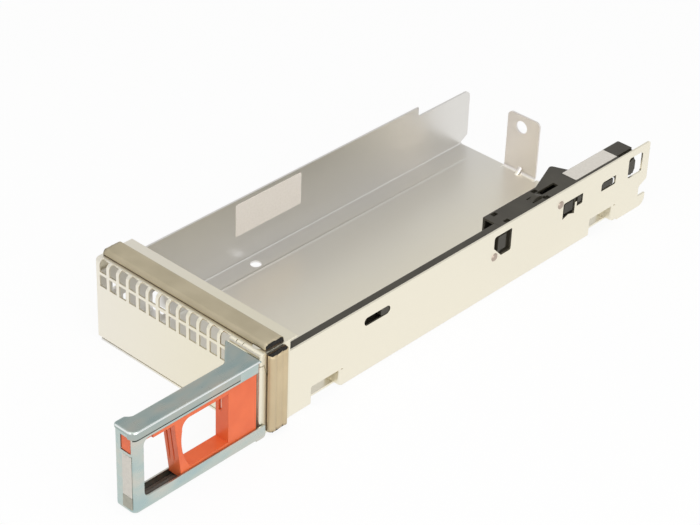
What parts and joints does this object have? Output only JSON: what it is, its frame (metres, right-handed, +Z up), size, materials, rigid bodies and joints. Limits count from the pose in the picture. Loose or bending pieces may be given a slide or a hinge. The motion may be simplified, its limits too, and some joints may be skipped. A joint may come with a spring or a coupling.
{
  "type": "hard disk drive carrier",
  "caption": "Empty hot-swap carrier for a 3.5-inch hard disk drive: folded steel tray, vented bezel with EMI gaskets, hinged ejector handle with a sliding trigger latch.",
  "frame": {"origin": "middle of the tray floor's underside, midway between the bezel's two sides and midway from the bezel's face to the floor's rear edge", "axes": "+Z up; -Y towards the user, out through the bezel; +X to the user's right, the side with the handle's hinge"},
  "size_m": [0.1152, 0.3736, 0.05],
  "materials": {
    "tray_steel": "nickel-grey plated steel, satin",
    "bezel_steel": "warm plated steel, satin",
    "gasket_fabric": "nickel-copper conductive ripstop fabric",
    "gasket_foam": "black open-cell urethane foam",
    "fastener_steel": "turned steel",
    "spring_steel": "spring steel",
    "handle_zinc": "blue zinc plated steel",
    "cap_zinc": "blue zinc plated steel",
    "track_polymer": "dark acetal",
    "latch_orange": "orange-red acetal, semi-gloss",
    "black_nylon": "black glass-filled nylon",
    "clear_acrylic": "clear moulded acrylic",
    "label_white": "bare matt label stock",
    "patch_grey": "grey film"
  },
  "bodies": {
    "carrier": {"tray": "tray_steel", "front_bezel": "bezel_steel", "top_gasket_sleeve": "gasket_fabric", "top_gasket_core": "gasket_foam", "side_gasket_sleeve": "gasket_fabric", "side_gasket_core": "gasket_foam", "hinge_bracket": "bezel_steel", "bracket_rivets": "fastener_steel", "hinge_pin": "fastener_steel", "pin_clips": "spring_steel", "light_pipe_rail": "black_nylon", "light_pipes": "clear_acrylic", "rear_housing": "black_nylon", "housing_cover": "black_nylon", "housing_label": "label_white", "wall_label": "label_white"},
    "handle": {"handle_frame": "handle_zinc", "handle_cap": "cap_zinc", "hinge_bushes": "black_nylon", "slide_track": "track_polymer", "latch_spring": "spring_steel", "handle_label": "label_white", "handle_patch": "patch_grey"},
    "latch": {"latch_slide": "latch_orange"}
  },
  "joints": [
    {"name": "handle_swing", "type": "hinge", "parent": "carrier", "child": "handle", "pos_m": [0.0492, -0.14, 0.0228], "axis": [0, 0, 1], "range_deg": [-90, 0]},
    {"name": "trigger_slide", "type": "slide", "parent": "handle", "child": "latch", "axis": [0, -1, 0], "range_m": [0, 0.006], "stiffness_N_per_m": 400, "springref_m": -0.002, "deforming": ["latch_spring"]}
  ]
}
